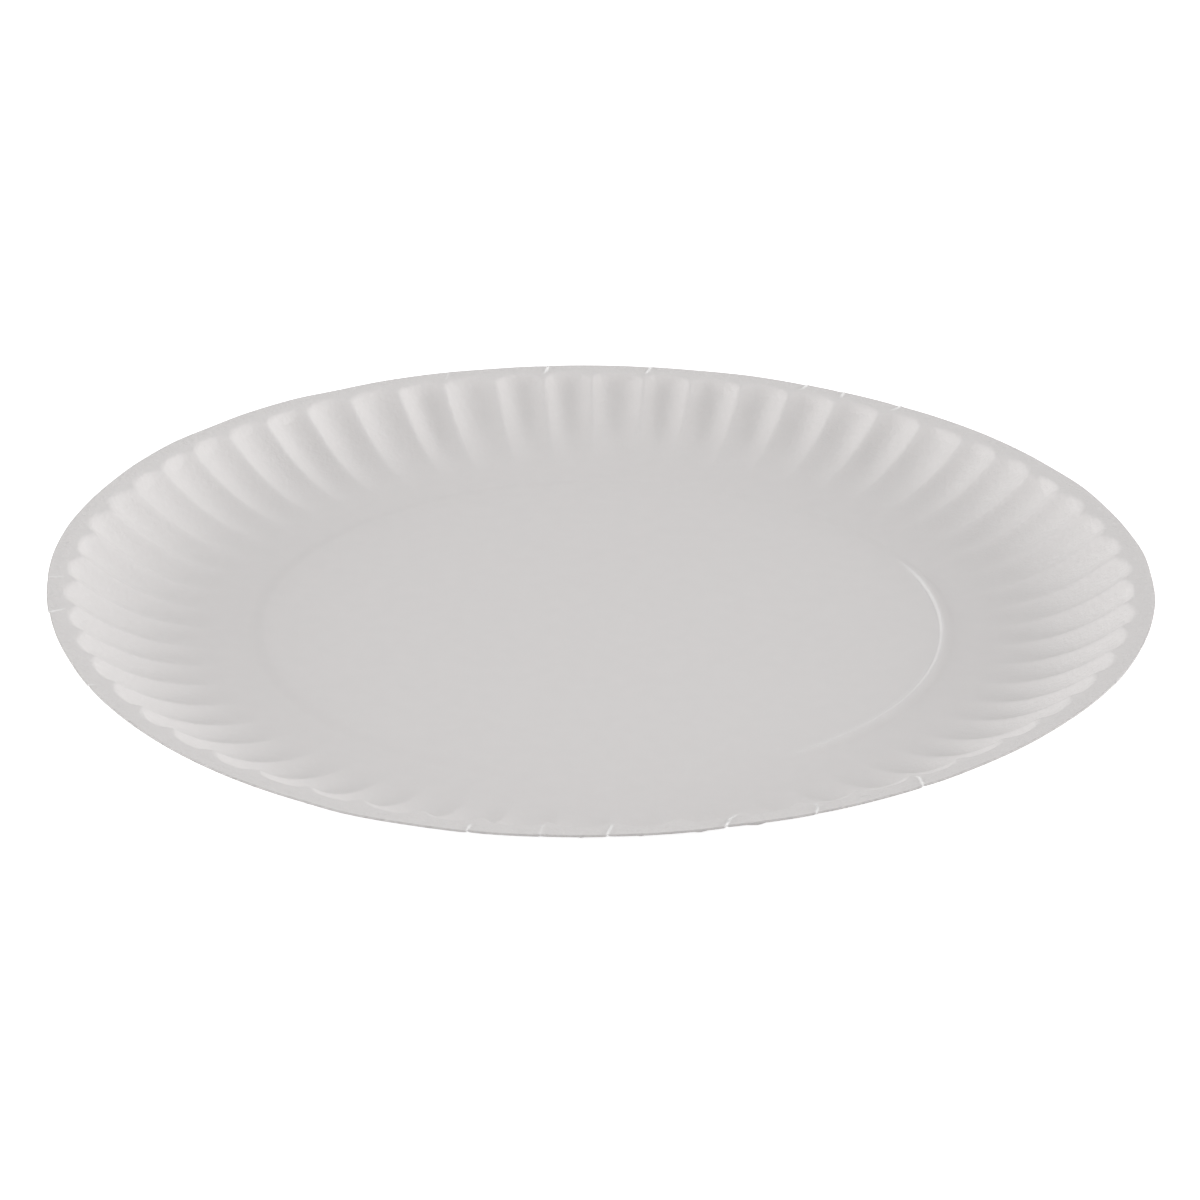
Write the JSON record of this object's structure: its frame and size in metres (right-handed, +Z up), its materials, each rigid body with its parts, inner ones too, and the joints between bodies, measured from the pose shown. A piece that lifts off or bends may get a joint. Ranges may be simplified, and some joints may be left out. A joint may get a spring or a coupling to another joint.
{
  "type": "paper plate",
  "caption": "Round white paper plate with a flat base, a curved wall pressed into radial flutes and a narrow flat rim.",
  "frame": {"origin": "middle of the foot ring's underside, on the table", "axes": "+Z up, out of the plate's hollow; +X to the right and +Y away from the viewer in the picture"},
  "size_m": [0.2286, 0.2286, 0.0139],
  "materials": {
    "paper": "uncoated matte board"
  },
  "bodies": {
    "root": {"paper_plate": "paper"}
  },
  "joints": []
}
